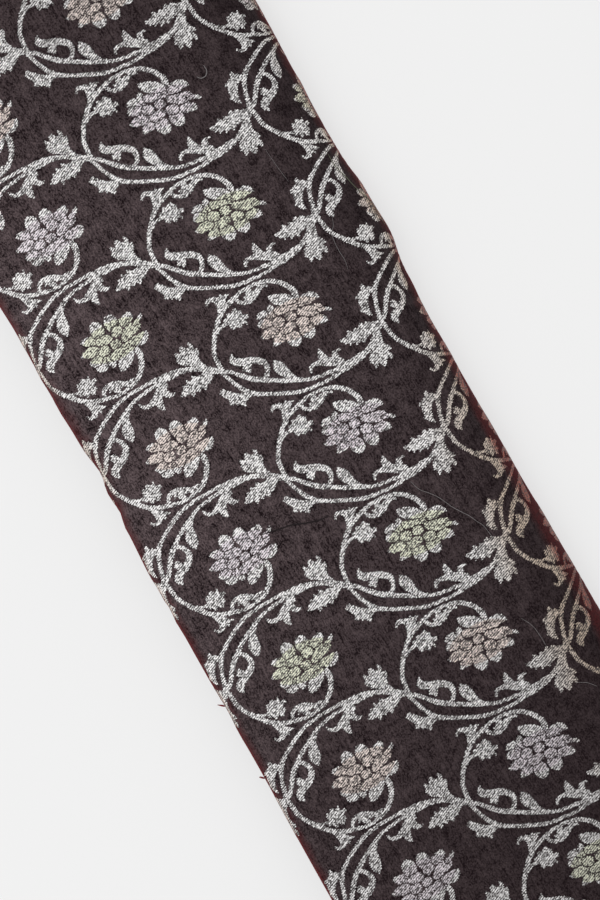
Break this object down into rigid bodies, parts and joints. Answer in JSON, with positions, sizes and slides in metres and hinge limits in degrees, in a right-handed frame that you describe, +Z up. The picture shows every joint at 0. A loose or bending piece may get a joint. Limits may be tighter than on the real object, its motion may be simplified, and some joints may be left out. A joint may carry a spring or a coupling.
{
  "type": "folded brocade panel",
  "caption": "Length of patterned woven cloth folded lengthwise in half three times, lying flat as a long strip of eight layers with a tight folded edge and a full one.",
  "frame": {"origin": "middle of the panel's box, on the surface that it lies on", "axes": "+X across the panel towards its full rounded edge, +Y along the folds, +Z up"},
  "size_m": [0.1622, 0.5226, 0.0258],
  "materials": {
    "brocade": "black-brown twill ground with silver-grey pattern weft, low sheen"
  },
  "bodies": {
    "root": {"brocade_cloth": "brocade"}
  },
  "joints": []
}
